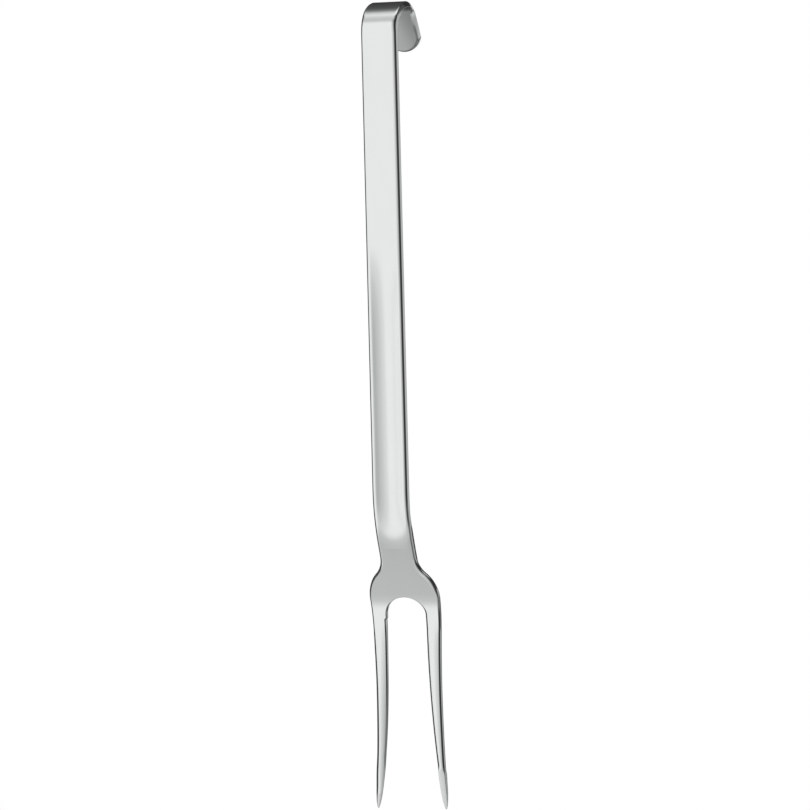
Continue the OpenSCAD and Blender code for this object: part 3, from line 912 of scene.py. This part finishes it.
def tent():
    """A sphere by two angles round the fork: height by the sine of one angle, ring by the other."""
    rings, sides = np.linspace(-np.pi / 2, np.pi / 2, TENT_RINGS), np.linspace(0, 2 * np.pi, TENT_SIDES)
    up, around = np.meshgrid(rings, sides, indexing="ij")
    points = TENT_R * np.stack([np.cos(up) * np.sin(around), -np.cos(up) * np.cos(around), np.sin(up)], -1)
    mesh = bpy.data.meshes.new("light_tent")
    mesh.from_pydata(points.reshape(-1, 3), [], grid_faces(TENT_RINGS, TENT_SIDES, 0).tolist())
    mesh.materials.append(tent_cloth)
    made = bpy.data.objects.new("light_tent", mesh)
    bpy.context.scene.collection.objects.link(made)
    made.visible_camera = False
    made.visible_diffuse = False
    made.visible_shadow = False
    return made


light_tent = tent()
print(light_tent.name, "of", TENT_R, "m radius")

# %% [markdown]
# The floor is a pale disc some way below the hanging fork. It takes the fork's soft shadow in the middle and turns
# to plain white towards its rim.

# %% Floor
FLOOR_Z, FLOOR_R = -0.9, 0.5
FLOOR_RINGS, FLOOR_SIDES = 12, 97
FLOOR_PAINT, FLOOR_ROUGHNESS, FLOOR_GLOSS = (0.9, 0.9, 0.9, 1), 0.9, 0.1
FLOOR_FADE = [(0, 0), (0.3 * FLOOR_R, 0.1), (0.97 * FLOOR_R, 1), (FLOOR_R, 1)]


def floor_disc():
    """A disc by radius and angle, as one grid of rings."""
    rings, sides = np.linspace(0, FLOOR_R, FLOOR_RINGS), np.linspace(0, 2 * np.pi, FLOOR_SIDES)
    radius, around = np.meshgrid(rings, sides, indexing="ij")
    points = np.stack([radius * np.cos(around), radius * np.sin(around), 0 * radius + FLOOR_Z], -1)
    mesh = bpy.data.meshes.new("floor")
    mesh.from_pydata(points.reshape(-1, 3), [], grid_faces(FLOOR_RINGS, FLOOR_SIDES, 0).tolist())
    made = bpy.data.objects.new("floor", mesh)
    bpy.context.scene.collection.objects.link(made)
    made.visible_glossy = False
    return made


def floor_material():
    """Pale matt paint in the middle, blending to a white glow at the rim by the distance from the centre."""
    material = bpy.data.materials.new("pale_floor")
    material.use_nodes = True
    tree = material.node_tree
    shader = tree.nodes["Principled BSDF"]
    shader.inputs["Base Color"].default_value = FLOOR_PAINT
    shader.inputs["Roughness"].default_value = FLOOR_ROUGHNESS
    shader.inputs["Specular IOR Level"].default_value = FLOOR_GLOSS
    place = tree.nodes.new("ShaderNodeTexCoord")
    far = tree.nodes.new("ShaderNodeVectorMath")
    far.operation = "LENGTH"
    flat = stretched(tree, place.outputs["Object"], (1, 1, 0))
    tree.links.new(flat, far.inputs[0])
    fade = ramp_node(tree, far.outputs["Value"], 0, FLOOR_R, FLOOR_FADE)
    glow = tree.nodes.new("ShaderNodeEmission")
    mix = tree.nodes.new("ShaderNodeMixShader")
    path = tree.nodes.new("ShaderNodeLightPath")
    seen = math_node(tree, "MULTIPLY", fade, path.outputs["Is Camera Ray"])
    tree.links.new(seen, mix.inputs["Fac"])
    tree.links.new(shader.outputs[0], mix.inputs[1])
    tree.links.new(glow.outputs[0], mix.inputs[2])
    tree.links.new(mix.outputs[0], tree.nodes["Material Output"].inputs["Surface"])
    return material


floor = floor_disc()
floor.data.materials.append(floor_material())
print("floor at", FLOOR_Z, "m")

# %% [markdown]
# Behind the fork there is nothing but white. A backdrop sheet would do, but the world's own colour has no edge in
# any view.

# %% White surround
world = bpy.data.worlds.new("white_surround")
bpy.context.scene.world = world
world.use_nodes = True
background = world.node_tree.nodes["Background"]
background.inputs["Color"].default_value = (1, 1, 1, 1)
background.inputs["Strength"].default_value = 1.0
print(world.name, "of strength", background.inputs["Strength"].default_value)

# %% [markdown]
# The camera stands to the right of the fork's front, level with its middle and a few metres back, so that upright
# lines hardly converge. The fork hangs a degree or so out of plumb, which is set as a small roll of the camera.

# %% Camera
VIEW_ANGLE, VIEW_RISE, VIEW_ROLL = math.radians(35.2), math.radians(0.9), math.radians(-1.42)
VIEW_DISTANCE, FRAME_HEIGHT = 4.5, 0.4321
VIEW_CENTRE, SENSOR_WIDTH = Vector((0.0022, 0.0016, -0.2121)), 36.0
camera_data = bpy.data.cameras.new("camera")
camera = bpy.data.objects.new("camera", camera_data)
bpy.context.scene.collection.objects.link(camera)
level = math.cos(VIEW_RISE)
towards_camera = Vector((math.sin(VIEW_ANGLE) * level, -math.cos(VIEW_ANGLE) * level, math.sin(VIEW_RISE)))
camera.location = VIEW_CENTRE + VIEW_DISTANCE * towards_camera
camera.rotation_mode = "QUATERNION"
camera.rotation_quaternion = (-towards_camera).to_track_quat("-Z", "Y") @ Quaternion((0, 0, 1), VIEW_ROLL)
camera_data.sensor_width = SENSOR_WIDTH
camera_data.lens = SENSOR_WIDTH * VIEW_DISTANCE / FRAME_HEIGHT
bpy.context.scene.camera = camera
bpy.context.scene.view_settings.view_transform = "Standard"
print("lens", round(camera_data.lens, 1), "mm")

# %% [markdown]
# Dressing must not change the fork's size. Last, the scene is updated so that every piece's place is current.

# %% Update the scene
bpy.context.view_layer.update()
